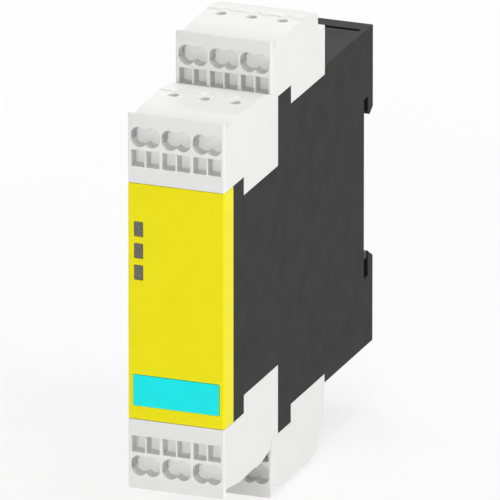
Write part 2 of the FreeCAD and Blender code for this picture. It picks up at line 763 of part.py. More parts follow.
def make_clamp_carrier(row, depth_name):
    """The moulding in a block's chamber: its face is the floor of the openings, its cells hold the clamps."""
    tier = TIERS[depth_name]
    face, edge = tier.face, tier.edge
    body = new_body(f"clamp_carrier_{row}_{depth_name}")
    back = face + s.block_depth - s.wall - s.seam
    under = tier.skirt + s.carrier_lift
    outline = [
        (face + s.face_wall, edge - s.chamber_drop - s.seam),
        (face + s.chamber_tall - s.seam, edge - s.chamber_drop - s.seam),
        (face + s.chamber_tall - s.seam, tier.shoulder - s.wall - s.seam),
        (back, tier.shoulder - s.wall - s.seam),
        (back, under),
        (face + s.skirt_start + s.wall + s.seam, under),
        (face + s.skirt_start + s.wall + s.seam, tier.inner + s.wall + s.seam),
        (face + s.face_wall, tier.inner + s.wall + s.seam),
    ]
    pad(body, "side", tray_left + s.seam, tray_right - s.seam, outline)
    wall = s.carrier_wall
    cell = [
        (face + s.face_wall + wall, edge - s.chamber_drop - s.seam - wall),
        (face + s.chamber_tall - s.seam - wall, edge - s.chamber_drop - s.seam - wall),
        (face + s.chamber_tall - s.seam - wall, tier.shoulder - s.wall - s.seam - wall),
        (back - wall, tier.shoulder - s.wall - s.seam - wall),
        (back - wall, under),
        (face + s.skirt_start + s.wall + s.seam + wall / 2, under),
        (face + s.skirt_start + s.wall + s.seam + wall / 2, tier.inner + s.wall + s.seam + wall / 2),
        (face + s.face_wall + wall, tier.inner + s.wall + s.seam + wall / 2),
    ]
    for pole in POLES:
        cut(body, "side", pole - s.cell_half, pole + s.cell_half, cell)
    place(body, ROWS[row])


def make_contact_bars(row, depth_name):
    """Bent bars that run from the clamps down to a fork over each contact blade."""
    tier = TIERS[depth_name]
    face, edge = tier.face, tier.edge
    height = edge - s.bar_drop
    end = tier.skirt + s.bar_lift
    path = [(face + s.bar_start, height), (face + s.bar_turn, height), (face + s.bar_turn, end)]
    fork = (s.blade_thickness / 2 + s.fork_gap).value
    bars = []
    for pole in POLES:
        bar = bent_strip(path, s.bar_thickness, s.bar_width, pole)
        low = FreeCAD.Vector(pole.value - fork, face.value + s.bar_start.value, end.value - 1)
        tool = Part.makeBox(2 * fork, s.block_depth.value, s.fork_depth.value + 1, low)
        bars.append(bar.cut(tool))
    solids_piece(f"contact_bars_{row}_{depth_name}", bars, ROWS[row])


def make_clamp_springs(row, depth_name):
    """Bent leaves behind the entries: a back leg on the contact bar and a finger for each conductor."""
    tier = TIERS[depth_name]
    face, edge = tier.face, tier.edge
    seat = (s.bar_thickness + s.spring_thickness) / 2 + s.spring_gap
    foot = face + s.bar_turn - seat
    bar_under = edge - s.bar_drop - s.bar_thickness / 2
    path = [
        (foot, bar_under - s.bend_radius),
        (foot, edge - s.spring_bottom),
        (face + s.bar_start + s.bar_thickness, edge - s.bar_drop - seat),
    ]
    gap = s.finger_gap.value
    start = face.value + s.bar_start.value
    low = edge.value - s.spring_bottom.value
    depth = s.bar_turn.value - s.bar_start.value - s.finger_root.value
    springs = []
    for pole in POLES:
        leaf = bent_strip(path, s.spring_thickness, s.spring_width, pole)
        corner = FreeCAD.Vector(pole.value - gap / 2, start, low)
        springs.append(leaf.cut(Part.makeBox(gap, depth, s.spring_bottom.value, corner)))
    solids_piece(f"clamp_springs_{row}_{depth_name}", springs, ROWS[row])


def header_start(tier):
    return tier.face + s.blade_start - s.header_margin


def header_low(tier):
    """Underside of a header base below its case wall."""
    return tier.skirt - s.wall - s.seam - s.header_height


def make_blade_header(row, depth_name):
    """Base on the board side of a case wall, with three blades up through the wall."""
    tier = TIERS[depth_name]
    body = new_body(f"blade_header_{row}_{depth_name}")
    low = header_low(tier)
    start = header_start(tier)
    length = s.blade_length + s.header_margin * 2
    pad_box(
        body, (-s.header_half, s.header_half), (start, start + length), (low, low + s.header_height)
    )
    blades = [
        rectangle(
            pole - s.blade_thickness / 2,
            tier.face + s.blade_start,
            pole + s.blade_thickness / 2,
            tier.face + s.blade_start + s.blade_length,
        )
        for pole in POLES
    ]
    pad(body, "top", low, tier.skirt + s.blade_reach, *blades)
    place(body, ROWS[row])


# Rail latch and its spring

def make_rail_latch():
    body = new_body("rail_latch")
    front = s.seat_depth + s.latch_gap
    groove = s.seat_depth + s.rail_groove
    back = case_depth - s.latch_reach
    top = -s.mouth_bottom
    plate_half = s.channel_half - s.latch_gap
    spine_half = s.mouth_half - s.latch_gap
    low = -(s.case_half - s.latch_reach)
    # Guide plate, the spine that fills the mouth, and the lugs in the side slots
    pad_box(body, (-plate_half, plate_half), (front, groove - s.latch_gap), (low, top))
    lug_reach = half - s.lug_set_back
    pad_box(body, (-lug_reach, lug_reach), (front, groove - s.latch_gap), (top - s.lug_height, top))
    nose = s.seat_depth + s.nose_start
    slope_end = -s.nose_top - s.nose_fall
    spine = [
        (nose, low),
        (nose, -s.nose_top),
        (nose + s.nose_land, -s.nose_top),
        (back, slope_end),
        (back, low),
    ]
    pad(body, "side", -spine_half, spine_half, spine)
    # Release tab below the case, with a slot for a screwdriver
    pad_box(body, (-s.release_half, s.release_half), (nose, back), (-s.tab_end, low))
    pry = (s.pry_margin - s.tab_end, s.pry_margin + s.pry_height - s.tab_end)
    cut_box(body, (-s.pry_half, s.pry_half), (nose, back), pry)
    # Window for the spring, with a keeper behind the spring's upper end
    window_low = -(s.window_top + s.meander_length + s.boss_height + s.latch_gap)
    keeper = s.seat_depth + s.keeper_start
    window = [
        (front, window_low),
        (back, window_low),
        (back, -s.window_top - s.keeper_height),
        (keeper, -s.window_top - s.keeper_height),
        (keeper, -s.window_top),
        (front, -s.window_top),
    ]
    cut(body, "side", -s.window_half, s.window_half, window)
    place(body)


MEANDER_RUNS = 6


def make_latch_spring():
    """A strip in level runs joined by half turns, from the boss up to the top of the latch's window."""
    top = -(s.window_top + s.meander_gap + s.meander_strip / 2).value
    length = (s.meander_length - s.meander_gap * 2 - s.meander_strip).value
    turn = length / (MEANDER_RUNS - 1) / 2
    reach = (s.meander_half - s.meander_strip / 2).value - turn
    depth = (s.seat_depth + s.meander_start).value
    edges = []
    for run in range(MEANDER_RUNS):
        side = 1 if run % 2 == 0 else -1
        height = top - 2 * turn * run
        here = FreeCAD.Vector(-reach * side, depth, height)
        there = FreeCAD.Vector(reach * side, depth, height)
        edges.append(Part.makeLine(here, there))
        if run < MEANDER_RUNS - 1:
            crown = FreeCAD.Vector((reach + turn) * side, depth, height - turn)
            below = FreeCAD.Vector(reach * side, depth, height - 2 * turn)
            edges.append(Part.Arc(there, crown, below).toShape())
    spring = strip_along(edges, s.meander_strip, FreeCAD.Vector(0, s.meander_width.value, 0))
    solids_piece("latch_spring", [spring])


# Boards and what they carry

def main_left():
    return s.main_left - half


def main_right():
    return s.main_left + s.board_thickness - half


def board_half():
    return header_low(TIERS["rear"]) - s.board_gap


def control_left():
    return tray_right - s.rest_height - s.board_thickness


def control_half():
    return header_low(TIERS["rear"]) - s.control_gap


def control_rests():
    """Outlines of the ribs that carry the control board, one near its upper and one near its lower edge."""
    start, end = s.control_start + s.control_margin, board_back - s.control_margin
    height = control_half() - s.control_margin
    return [rectangle(start, z - s.rest_half, end, z + s.rest_half) for z in (-height, height)]


def make_main_board():
    body = new_body("main_board")
    neck = header_low(TIERS["front"]) - s.board_gap
    step = s.block_depth + s.wall + s.board_gap
    upper = [(s.board_front, neck), (step, neck), (step, board_half()), (board_back, board_half())]
    outline = upper + [(y, -z) for y, z in reversed(upper)]
    pad(body, "side", main_left(), main_right(), outline)
    place(body)


def make_control_board():
    body = new_body("control_board")
    outline = rectangle(s.control_start, -control_half(), board_back, control_half())
    pad(body, "side", control_left(), control_left() + s.board_thickness, outline)
    place(body)


def board_step():
    """Depth of the case's step in front of the board's tall part."""
    return s.block_depth + s.wall


def make_safety_relays():
    """Two relays that fill the board's upper half between the case's step and the board's back edge."""
    start = board_step() + s.relay_front
    end = board_back - s.relay_back
    width = (header_low(TIERS["rear"]) - s.relay_room - s.relay_low - s.relay_gap) / 2
    for number in (1, 2):
        body = new_body(f"safety_relay_{number}")
        low = s.relay_low + (width + s.relay_gap) * (number - 1)
        foot = main_right()
        base = rectangle(start, low, end, low + width)
        pad(body, "side", foot, foot + s.relay_base, base)
        lip = s.relay_lip
        cap = rectangle(start + lip, low + lip, end - lip, low + width - lip)
        pad(body, "side", foot + s.relay_base, foot + s.relay_height, cap)
        top = foot + s.relay_height
        round_edges(
            body,
            s.relay_chamfer,
            lambda edge, top=top: near(edge.BoundBox.XMin, top) and near(edge.BoundBox.XMax, top),
            "Chamfer",
        )
        place(body)


def core_start():
    """The transformer takes 8/25 of the board's tall part."""
    return board_back - s.core_back - (board_back - board_step()) * 0.32


def make_supply_capacitors():
    """Two cans that share the room between the board connector and the transformer."""
    start = board_step() + s.can_front
    pitch = (core_start() - start) / 2
    radius = (pitch - s.can_gap) / 2
    foot = main_right()
    for number in (1, 2):
        body = new_body(f"supply_capacitor_{number}")
        axis = start + radius + pitch * (number - 1)
        pad(body, "side", foot, foot + s.can_height, circle(axis, -s.can_drop, radius))
        place(body)


def make_transformer():
    body = new_body("transformer")
    foot = main_right()
    top = -s.core_drop
    low = s.core_room - header_low(TIERS["rear"])
    start, end = core_start(), board_back - s.core_back
    core = rectangle(start, low, end, top)
    opening = rectangle(start, low + s.core_leg, end, top - s.core_leg)
    pad(body, "side", foot, foot + s.core_height, core)
    cut(body, "side", foot + s.core_leg, foot + s.core_height - s.core_leg, opening)
    # Winding on the core's middle leg
    winding = rectangle(
        start + s.coil_margin,
        low + s.core_leg,
        end - s.coil_margin,
        top - s.core_leg,
    )
    pad(body, "side", foot + s.core_leg, foot + s.core_height - s.core_leg, winding)
    place(body)


def make_processors():
    for number in (1, 2):
        body = new_body(f"processor_{number}")
        start = s.chip_start + s.chip_pitch * (number - 1)
        low = s.chip_margin - control_half()
        shape = rectangle(start, low, start + s.chip_side, low + s.chip_side)
        pad(body, "side", control_left() - s.chip_height, control_left(), shape)
        place(body)


def make_board_connector():
    body = new_body("board_connector")
    shape = rectangle(
        s.plug_start, -s.plug_drop - s.plug_height, s.plug_start + s.plug_depth, -s.plug_drop
    )
    pad(body, "side", main_right(), control_left(), shape)
    place(body)


def make_indicator_lamps():
    body_size = (s.led_thickness.value, s.led_depth.value, s.led_height.value)
    lamps = []
    for centre in lamp_heights():
        corner = FreeCAD.Vector(
            main_left().value - s.led_thickness.value,
            s.board_front.value,
            centre.value - s.led_height.value / 2,
        )
        lamps.append(Part.makeBox(*body_size, corner))
    solids_piece("indicator_lamps", lamps)


def build():
    make_housing()
    make_side_cover()
    make_front_cover()
    make_label_plate()
    make_indicator_windows()
    for row in ROWS:
        for depth_name in TIERS:
            make_terminal_block(row, depth_name)
            make_clamp_carrier(row, depth_name)
            make_contact_bars(row, depth_name)
            make_clamp_springs(row, depth_name)
            make_blade_header(row, depth_name)
    make_rail_latch()
    make_latch_spring()
    make_main_board()
    make_control_board()
    make_safety_relays()
    make_supply_capacitors()
    make_transformer()
    make_processors()
    make_board_connector()
    make_indicator_lamps()
    doc.recompute()


def check():
    """Stops if a feature failed, a cut removed nothing, or a piece isn't sound."""
    for thing in doc.Objects:
        if {"Invalid", "Error"} & set(thing.State):
            raise RuntimeError(f"{thing.Name} failed: {thing.State}")
        if thing.TypeId == "PartDesign::Pocket":
            if thing.BaseFeature.Shape.Volume - thing.Shape.Volume < 1e-6:
                raise RuntimeError(f"{thing.Name} cuts nothing")
    for piece in pieces:
        if piece.Shape.isNull() or not piece.Shape.isValid():
            raise RuntimeError(f"{piece.Label} isn't a sound solid")


def export():
    os.makedirs("parts", exist_ok=True)
    for piece in pieces:
        piece.Shape.exportStep(f"parts/{piece.Label}.step")


build()
check()
export()
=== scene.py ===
import json
import math

import bmesh
import bpy
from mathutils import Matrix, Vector


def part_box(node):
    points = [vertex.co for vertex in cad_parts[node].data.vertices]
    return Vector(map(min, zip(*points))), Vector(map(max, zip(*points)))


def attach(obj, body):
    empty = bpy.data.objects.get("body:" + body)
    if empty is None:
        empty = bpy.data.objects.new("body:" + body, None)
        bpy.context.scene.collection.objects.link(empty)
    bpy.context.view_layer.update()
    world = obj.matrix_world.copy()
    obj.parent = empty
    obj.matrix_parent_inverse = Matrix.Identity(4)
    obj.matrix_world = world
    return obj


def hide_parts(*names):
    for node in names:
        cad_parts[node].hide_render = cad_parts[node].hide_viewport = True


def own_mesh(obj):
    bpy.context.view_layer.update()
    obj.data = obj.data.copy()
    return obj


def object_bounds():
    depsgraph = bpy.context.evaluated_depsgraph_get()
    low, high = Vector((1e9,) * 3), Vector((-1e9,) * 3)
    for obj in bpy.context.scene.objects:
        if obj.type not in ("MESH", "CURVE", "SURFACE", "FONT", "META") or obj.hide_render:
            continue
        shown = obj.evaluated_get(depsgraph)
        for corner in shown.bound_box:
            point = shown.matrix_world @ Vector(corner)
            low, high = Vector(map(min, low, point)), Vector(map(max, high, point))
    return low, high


# Safety relay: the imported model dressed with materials, rounded edges and small parts, in a plain studio.
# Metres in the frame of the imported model: X across the module, Y from its front to the rail, Z up.

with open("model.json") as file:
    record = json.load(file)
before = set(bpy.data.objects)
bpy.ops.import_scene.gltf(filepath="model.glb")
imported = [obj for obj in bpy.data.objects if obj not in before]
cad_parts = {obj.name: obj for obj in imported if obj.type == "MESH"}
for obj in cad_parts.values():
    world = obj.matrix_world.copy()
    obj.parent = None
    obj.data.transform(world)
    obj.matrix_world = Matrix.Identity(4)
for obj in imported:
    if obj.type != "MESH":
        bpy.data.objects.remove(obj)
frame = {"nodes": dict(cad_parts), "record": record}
cad_low, cad_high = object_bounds()

MM = 0.001
NODES = frame["nodes"]
SLOT_OF = {part["node"]: part["material_slot"] for part in frame["record"]["subparts"]}
ROWS = {"upper": 1, "lower": -1}
BLOCKS = [(f"{row}_{tier}", up) for row, up in ROWS.items() for tier in ("front", "rear")]
POLE_PITCH = 7.2 * MM
POLES = [place * POLE_PITCH for place in (-1, 0, 1)]


def outer_edge(low, high, up):
    """The height of a box's edge that lies away from the module's middle."""
    return high.z if up > 0 else low.z


def add_object(name, data):
    made = bpy.data.objects.new(name, data)
    bpy.context.scene.collection.objects.link(made)
    return made


# Node trees


class Tree:
    """A node tree, with short calls for its nodes and links."""

    def __init__(self, tree):
        self.tree = tree

    def add(self, kind, **settings):
        node = self.tree.nodes.new(kind)
        for name, value in settings.items():
            setattr(node, name, value)
        return node

    def join(self, source, target):
        self.tree.links.new(source, target)

    def maths(self, operation, *values):
        """A maths node's result, each value a number or another node's output."""
        node = self.add("ShaderNodeMath", operation=operation)
        for socket, value in zip(node.inputs, values):
            if isinstance(value, (int, float)):
                socket.default_value = value
            else:
                self.join(value, socket)
        return node.outputs["Value"]

    def plain_ray(self):
        """1 for rays from the camera, and those that a gloss or glass sends on."""
        path = self.add("ShaderNodeLightPath")
        seen = self.maths("MAXIMUM", path.outputs["Is Camera Ray"], path.outputs["Is Glossy Ray"])
        return self.maths("MAXIMUM", seen, path.outputs["Is Transmission Ray"])


EDGE_SAMPLES = 6
EDGE_LIKENESS = (0.86, 0.995)


def shade(colour, factor):
    return [min(1.0, part * factor) for part in colour]


class Graph(Tree):
    """A material's node tree around its Principled shader."""

    def __init__(self, name):
        self.material = bpy.data.materials.new(name)
        self.material.use_nodes = True
        super().__init__(self.material.node_tree)
        self.shader = self.tree.nodes["Principled BSDF"]
        self.place = self.add("ShaderNodeTexCoord").outputs["Object"]

    def noise(self, size, detail=2.0, roughness=0.5, stretch=None):
        """Noise whose blotches are about the given size across, longer along the axes of stretch."""
        node = self.add("ShaderNodeTexNoise")
        node.inputs["Scale"].default_value = 1 / size
        node.inputs["Detail"].default_value = detail
        node.inputs["Roughness"].default_value = roughness
        place = self.place
        if stretch is not None:
            mapping = self.add("ShaderNodeMapping")
            mapping.inputs["Scale"].default_value = [1 / part for part in stretch]
            self.join(place, mapping.inputs["Vector"])
            place = mapping.outputs["Vector"]
        self.join(place, node.inputs["Vector"])
        return node.outputs["Fac"]

    def cells(self, size):
        """Distance to the nearest cell centre, for a spark-eroded mould's grain."""
        node = self.add("ShaderNodeTexVoronoi")
        node.inputs["Scale"].default_value = 1 / size
        self.join(self.place, node.inputs["Vector"])
        return node.outputs["Distance"]

    def spread(self, source, low, high, start=0.3, end=0.7):
        """Maps a texture's middle range to low..high."""
        node = self.add("ShaderNodeMapRange")
        node.inputs["From Min"].default_value = start
        node.inputs["From Max"].default_value = end
        node.inputs["To Min"].default_value = low
        node.inputs["To Max"].default_value = high
        self.join(source, node.inputs["Value"])
        return node.outputs["Result"]

    def blend(self, share, first, second):
        """Mixes two colours, each an RGB triple or another node's output."""
        node = self.add("ShaderNodeMix", data_type="RGBA")
        sockets = [socket for socket in node.inputs if socket.type == "RGBA"]
        for socket, value in zip(sockets, (first, second)):
            if isinstance(value, (tuple, list)):
                socket.default_value = (*value, 1)
            else:
                self.join(value, socket)
        self.join(share, node.inputs["Factor"])
        return next(socket for socket in node.outputs if socket.type == "RGBA")

    def mottle(self, texture, colour, darkest, lightest):
        """A colour made darker and lighter by a texture, between two factors."""
        return self.blend(self.spread(texture, 0, 1), shade(colour, darkest), shade(colour, lightest))

    def edges(self, radius):
        """About 1 on sharp edges and 0 on flat ground."""
        bevel = self.add("ShaderNodeBevel", samples=EDGE_SAMPLES)
        bevel.inputs["Radius"].default_value = radius
        ground = self.add("ShaderNodeNewGeometry")
        dot = self.add("ShaderNodeVectorMath", operation="DOT_PRODUCT")
        self.join(bevel.outputs["Normal"], dot.inputs[0])
        self.join(ground.outputs["True Normal"], dot.inputs[1])
        return self.spread(dot.outputs["Value"], 1.0, 0.0, *EDGE_LIKENESS)

    def layer(self, first, second, share):
        """Two textures added, the second at a share of its strength."""
        return self.maths("ADD", first, self.maths("MULTIPLY", second, share))

    def bump(self, height, depth):
        node = self.add("ShaderNodeBump")
        node.inputs["Strength"].default_value = 1.0
        node.inputs["Distance"].default_value = depth
        self.join(height, node.inputs["Height"])
        self.join(node.outputs["Normal"], self.shader.inputs["Normal"])

    def feed(self, **sources):
        """Joins outputs to the shader's inputs."""
        for name, source in sources.items():
            self.join(source, self.shader.inputs[name.replace("_", " ")])

    def set(self, **values):
        for name, value in values.items():
            self.shader.inputs[name.replace("_", " ")].default_value = value


# Materials

FLECK_SHARE = 0.3
# Reach and patches of the lightened edges, which are partly wear and partly a painted highlight
WEAR_AND_HIGHLIGHT_REACH = 0.35 * MM
WEAR_AND_HIGHLIGHT_PATCHES = (0.25, 0.9)
WEAR_POLISH = 0.12
TONE_DRIFT = 0.05


def moulded(name, colour, roughness, grain=0.22 * MM, relief=0.012 * MM, edge_wear_and_highlight=1.12, gloss=0.5, cloud=0.04):
    """Moulded plastic: fine eroded grain, faint clouds in the colour, edges polished by handling and
    lightened in patches, partly as wear and partly as a painted highlight.
    """
    g = Graph(name)
    clouds = g.noise(size=6 * MM, detail=4)
    flecks = g.noise(size=0.5 * MM)
    mixed = g.layer(g.maths("MULTIPLY", clouds, 1 - FLECK_SHARE), flecks, FLECK_SHARE)
    tone = g.mottle(mixed, colour, 1 - cloud, 1 + cloud * 0.8)
    # Edges lightened in patches: partly wear, partly a painted highlight that marks the edges
    patches = g.spread(g.noise(size=1.6 * MM, detail=3), *WEAR_AND_HIGHLIGHT_PATCHES)
    rubbed_and_highlit = g.maths("MULTIPLY", g.edges(WEAR_AND_HIGHLIGHT_REACH), patches)
    rough = g.spread(mixed, roughness - TONE_DRIFT, roughness + TONE_DRIFT)
    g.feed(
        Base_Color=g.blend(rubbed_and_highlit, tone, shade(colour, edge_wear_and_highlight)),
        Roughness=g.maths("SUBTRACT", rough, g.maths("MULTIPLY", rubbed_and_highlit, WEAR_POLISH)),
    )
    g.bump(g.layer(g.cells(grain), g.noise(size=grain * 2.5), 0.8), relief)
    g.set(Specular_IOR_Level=gloss)
    return g.material


def smooth_plastic(name, colour, roughness, gloss=0.5):
    """Glossy plastic with a faint ripple from the mould and fine hairlines in its polish."""
    g = Graph(name)
    hairlines = g.noise(size=0.12 * MM, stretch=(14, 1, 1))
    g.feed(
        Base_Color=g.mottle(g.noise(size=4 * MM, detail=3), colour, 0.96, 1.03),
        Roughness=g.spread(hairlines, roughness, roughness + 0.14),
    )
    g.bump(g.layer(g.noise(size=1.4 * MM), hairlines, 0.25), 0.004 * MM)
    g.set(Specular_IOR_Level=gloss)
    return g.material


def window_plastic(name, colour):
    """Smoked light pipe: part of the light goes in, with fine upright prisms moulded inside."""
    g = Graph(name)
    depth = g.noise(size=1.1 * MM, detail=3)
    prisms = g.add("ShaderNodeTexWave", wave_profile="TRI", bands_direction="Z")
    prisms.inputs["Scale"].default_value = 1 / (1.9 * MM)
    g.join(g.place, prisms.inputs["Vector"])
    g.feed(Base_Color=g.mottle(depth, colour, 0.88, 1.1), Roughness=g.spread(depth, 0.2, 0.32))
    g.bump(g.layer(prisms.outputs["Fac"], depth, 0.4), 0.02 * MM)
    g.set(Transmission_Weight=0.25, IOR=1.5)
    return g.material


def metal(name, colour, roughness, stretch):
    """Drawn or rolled metal with fine lines along stretch and a patchy film on it."""
    g = Graph(name)
    lines = g.noise(size=0.05 * MM, detail=3, stretch=stretch)
    film = g.noise(size=1.8 * MM, detail=4, roughness=0.6)
    g.feed(
        Base_Color=g.mottle(film, colour, 0.55, 1.0),
        Roughness=g.spread(lines, roughness - 0.08, roughness + 0.1),
    )
    g.bump(g.layer(lines, film, 0.2), 0.004 * MM)
    g.set(Metallic=1.0)
    return g.material


TRACK_LAYOUT = {"Scale": 1.0, "Mortar Size": 0.16 * MM, "Brick Width": 5.2 * MM, "Row Height": 1.3 * MM}


def circuit_board(name, colour):
    """Solder mask over copper: tracks show as slightly raised, lighter lines."""
    g = Graph(name)
    tracks = g.add("ShaderNodeTexBrick", offset=0.37)
    for measure, value in TRACK_LAYOUT.items():
        tracks.inputs[measure].default_value = value
    turned = g.add("ShaderNodeMapping")
    turned.inputs["Rotation"].default_value = (0, math.pi / 2, 0)
    g.join(g.place, turned.inputs["Vector"])
    g.join(turned.outputs["Vector"], tracks.inputs["Vector"])
    weave = g.noise(size=0.5 * MM, stretch=(1, 3, 1))
    plain = g.mottle(weave, colour, 0.85, 1.1)
    g.feed(
        Base_Color=g.blend(tracks.outputs["Fac"], plain, shade(colour, 1.7)),
        Roughness=g.spread(weave, 0.3, 0.42),
    )
    g.bump(g.layer(tracks.outputs["Fac"], weave, 0.3), 0.02 * MM)
    return g.material


def make_materials():
    return {
        # The dark case and latch get the strongest lightening on their edges, mostly a painted highlight
        "case": moulded("case", (0.0195, 0.0195, 0.02), 0.58, edge_wear_and_highlight=2.2, gloss=0.12, cloud=0.025),
        "cover": moulded(
            "cover",
            (0.86, 0.77, 0.0),
            0.44,
            grain=0.18 * MM,
            relief=0.007 * MM,
            edge_wear_and_highlight=1.04,
            gloss=0.2,
            cloud=0.018,
        ),
        "label": smooth_plastic("label", (0.0, 0.81, 0.82), 0.3, gloss=0.25),
        "window": window_plastic("window", (0.162, 0.157, 0.147)),
        "block": moulded(
            "block",
            (0.79, 0.79, 0.785),
            0.46,
            grain=0.2 * MM,
            relief=0.008 * MM,
            edge_wear_and_highlight=1.04,
            gloss=0.3,
            cloud=0.012,
        ),
        # The carrier's light grey is paler than the block's, as painted light on the floors deep in the
        # conductor openings
        "carrier": moulded("carrier", (0.88, 0.88, 0.875), 0.5, edge_wear_and_highlight=1.03, cloud=0.012),
        "latch": moulded("latch", (0.022, 0.022, 0.023), 0.5, edge_wear_and_highlight=2.0, gloss=0.35),
        "spring_steel": metal("spring_steel", (0.62, 0.62, 0.63), 0.3, stretch=(1, 1, 10)),
        "contact": metal("contact", (0.76, 0.74, 0.68), 0.34, stretch=(1, 10, 1)),
        "board": circuit_board("board", (0.015, 0.13, 0.05)),
        "relay_cap": smooth_plastic("relay_cap", (0.7, 0.34, 0.03), 0.2),
        "can": metal("can", (0.72, 0.72, 0.74), 0.32, stretch=(10, 1, 1)),
        "core": moulded("core", (0.075, 0.075, 0.08), 0.62, grain=0.3 * MM, edge_wear_and_highlight=1.3),
        "chip": moulded("chip", (0.02, 0.02, 0.022), 0.6, edge_wear_and_highlight=1.5),
        "lamp": smooth_plastic("lamp", (0.82, 0.82, 0.76), 0.25),
    }


MATERIALS = make_materials()


def dress(piece, slot_name):
    piece.data.materials.clear()
    piece.data.materials.append(MATERIALS[slot_name])


# Rounded edges on the CAD nodes

EDGE_ROUNDS = {
    "case": 0.14 * MM,
    "cover": 0.18 * MM,
    "block": 0.1 * MM,
    "carrier": 0.08 * MM,
    "latch": 0.15 * MM,
    "label": 0.1 * MM,
    "window": 0.08 * MM,
    "relay_cap": 0.15 * MM,
    "core": 0.2 * MM,
    "chip": 0.1 * MM,
    "lamp": 0.15 * MM,
}
ROUND_SEGMENTS = 2
SAME_POINT = 0.002 * MM
FLAT_TURN = math.radians(0.3)

# Turns of a surface at an edge: more than a curve's steps, and a real corner
ROUND_STEP = math.radians(8.8)
SHARP_TURN = math.radians(35)

# The step in a block's top behind its face, its foot below the outer edge, and the notches behind the step
STEP_PLACE = 19.4 * MM
STEP_FOOT_DROP = 1.05 * MM
NOTCH_REACH = 1.3 * MM
STEP_BAND = 0.5 * MM
FOOT_BAND = 0.12 * MM
NOTCH_BAND = 0.1 * MM
FAR_AWAY = 1.0


class EdgeChoice(Tree):
    """A geometry node group that shades a node's creases sharp and picks the edges to round.

    Edges that turn by more than a curve's steps do are shaded sharp, and those with a real corner are
    rounded, but not at the foot of a block's step and at the low sill of its notches, which have no room.
    """

    def __init__(self):
        super().__init__(bpy.data.node_groups.new("edge_choice", "GeometryNodeTree"))
        self.socket("Geometry", "NodeSocketGeometry")
        self.step = self.socket("Step", "NodeSocketFloat")
        self.foot = self.socket("Foot", "NodeSocketFloat")
        self.socket("Geometry", "NodeSocketGeometry", in_out="OUTPUT")
        source = self.add("NodeGroupInput")
        turn = self.add("GeometryNodeInputMeshEdgeAngle").outputs["Unsigned Angle"]
        crease = self.add("GeometryNodeSetShadeSmooth", domain="EDGE")
        crease.inputs["Shade Smooth"].default_value = False
        self.join(source.outputs["Geometry"], crease.inputs["Geometry"])
        self.join(self.maths("GREATER_THAN", turn, ROUND_STEP), crease.inputs["Selection"])
        weight = self.add("GeometryNodeStoreNamedAttribute", data_type="FLOAT", domain="EDGE")
        weight.inputs["Name"].default_value = "bevel_weight_edge"
        self.join(crease.outputs["Geometry"], weight.inputs["Geometry"])
        corner = self.maths("GREATER_THAN", turn, SHARP_TURN)
        free = self.maths("SUBTRACT", 1.0, self.cramped(source.outputs["Step"], source.outputs["Foot"]))
        self.join(self.maths("MULTIPLY", corner, free), weight.inputs["Value"])
        self.join(weight.outputs["Geometry"], self.add("NodeGroupOutput").inputs["Geometry"])

    def cramped(self, step, foot):
        """1 for edges at the foot of a block's step and in its notches."""
        place = self.add("ShaderNodeSeparateXYZ")
        self.join(self.add("GeometryNodeInputPosition").outputs["Position"], place.inputs["Vector"])
        behind = self.maths("SUBTRACT", place.outputs["Y"], step)
        at_foot = self.maths(
            "MULTIPLY",
            self.maths("COMPARE", behind, 0.0, STEP_BAND),
            self.maths("COMPARE", place.outputs["Z"], foot, FOOT_BAND),
        )
        from_pole = self.maths("WRAP", place.outputs["X"], POLE_PITCH / 2, -POLE_PITCH / 2)
        at_notch = self.maths(
            "MULTIPLY",
            self.maths("COMPARE", from_pole, 0.0, NOTCH_REACH),
            self.maths("COMPARE", behind, NOTCH_REACH / 2, NOTCH_REACH / 2 + NOTCH_BAND),
        )
        return self.maths("MAXIMUM", at_foot, at_notch)

    def socket(self, name, kind, in_out="INPUT"):
        return self.tree.interface.new_socket(name, in_out=in_out, socket_type=kind).identifier

    def put_on(self, node, step, foot):
        modifier = node.modifiers.new("edge_choice", "NODES")
        modifier.node_group = self.tree
        modifier[self.step] = step
        modifier[self.foot] = foot


EDGE_CHOICE = EdgeChoice()


def soften(name, node, radius):
    """Merges a node's split corners, joins its flat triangles and rounds its sharp edges."""
    weld = node.modifiers.new("weld", "WELD")
    weld.merge_threshold = SAME_POINT
    flat = node.modifiers.new("flat", "DECIMATE")
    flat.decimate_type = "DISSOLVE"
    flat.angle_limit = FLAT_TURN
    step = foot = FAR_AWAY
    for tag, up in BLOCKS:
        if name == f"terminal_block_{tag}":
            low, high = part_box(name)
            step = low.y + STEP_PLACE
            foot = outer_edge(low, high, up) - up * STEP_FOOT_DROP
    EDGE_CHOICE.put_on(node, step, foot)
    bevel = node.modifiers.new("edges", "BEVEL")
    bevel.width = radius
    bevel.segments = ROUND_SEGMENTS
    bevel.limit_method = "WEIGHT"
    bevel.use_clamp_overlap = False
    bevel.harden_normals = True


def dress_nodes():
    for name, node in NODES.items():
        slot_name = SLOT_OF[name]
        dress(node, slot_name)
        if slot_name in EDGE_ROUNDS:
            soften(name, node, EDGE_ROUNDS[slot_name])
        for polygon in node.data.polygons:
            polygon.use_smooth = True


# New pieces


def piece_from(name, shape, slot_name, body):
    """A bmesh made into a piece that rides on a body."""
    mesh = bpy.data.meshes.new(name)
    bmesh.ops.recalc_face_normals(shape, faces=shape.faces)
    shape.to_mesh(mesh)
    shape.free()
    piece = add_object(name, mesh)
    dress(piece, slot_name)
    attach(piece, body)
    return piece


def prism(shape, outline, front, back):
    """Adds a closed prism over an outline of (x, z) points, from one y to another."""
    near, far = [[shape.verts.new((x, y, z)) for x, z in outline] for y in (front, back)]
    shape.faces.new(near)
    shape.faces.new(far[::-1])
    count = len(outline)
    for n in range(count):
        m = (n + 1) % count
        shape.faces.new((near[m], near[n], far[n], far[m]))


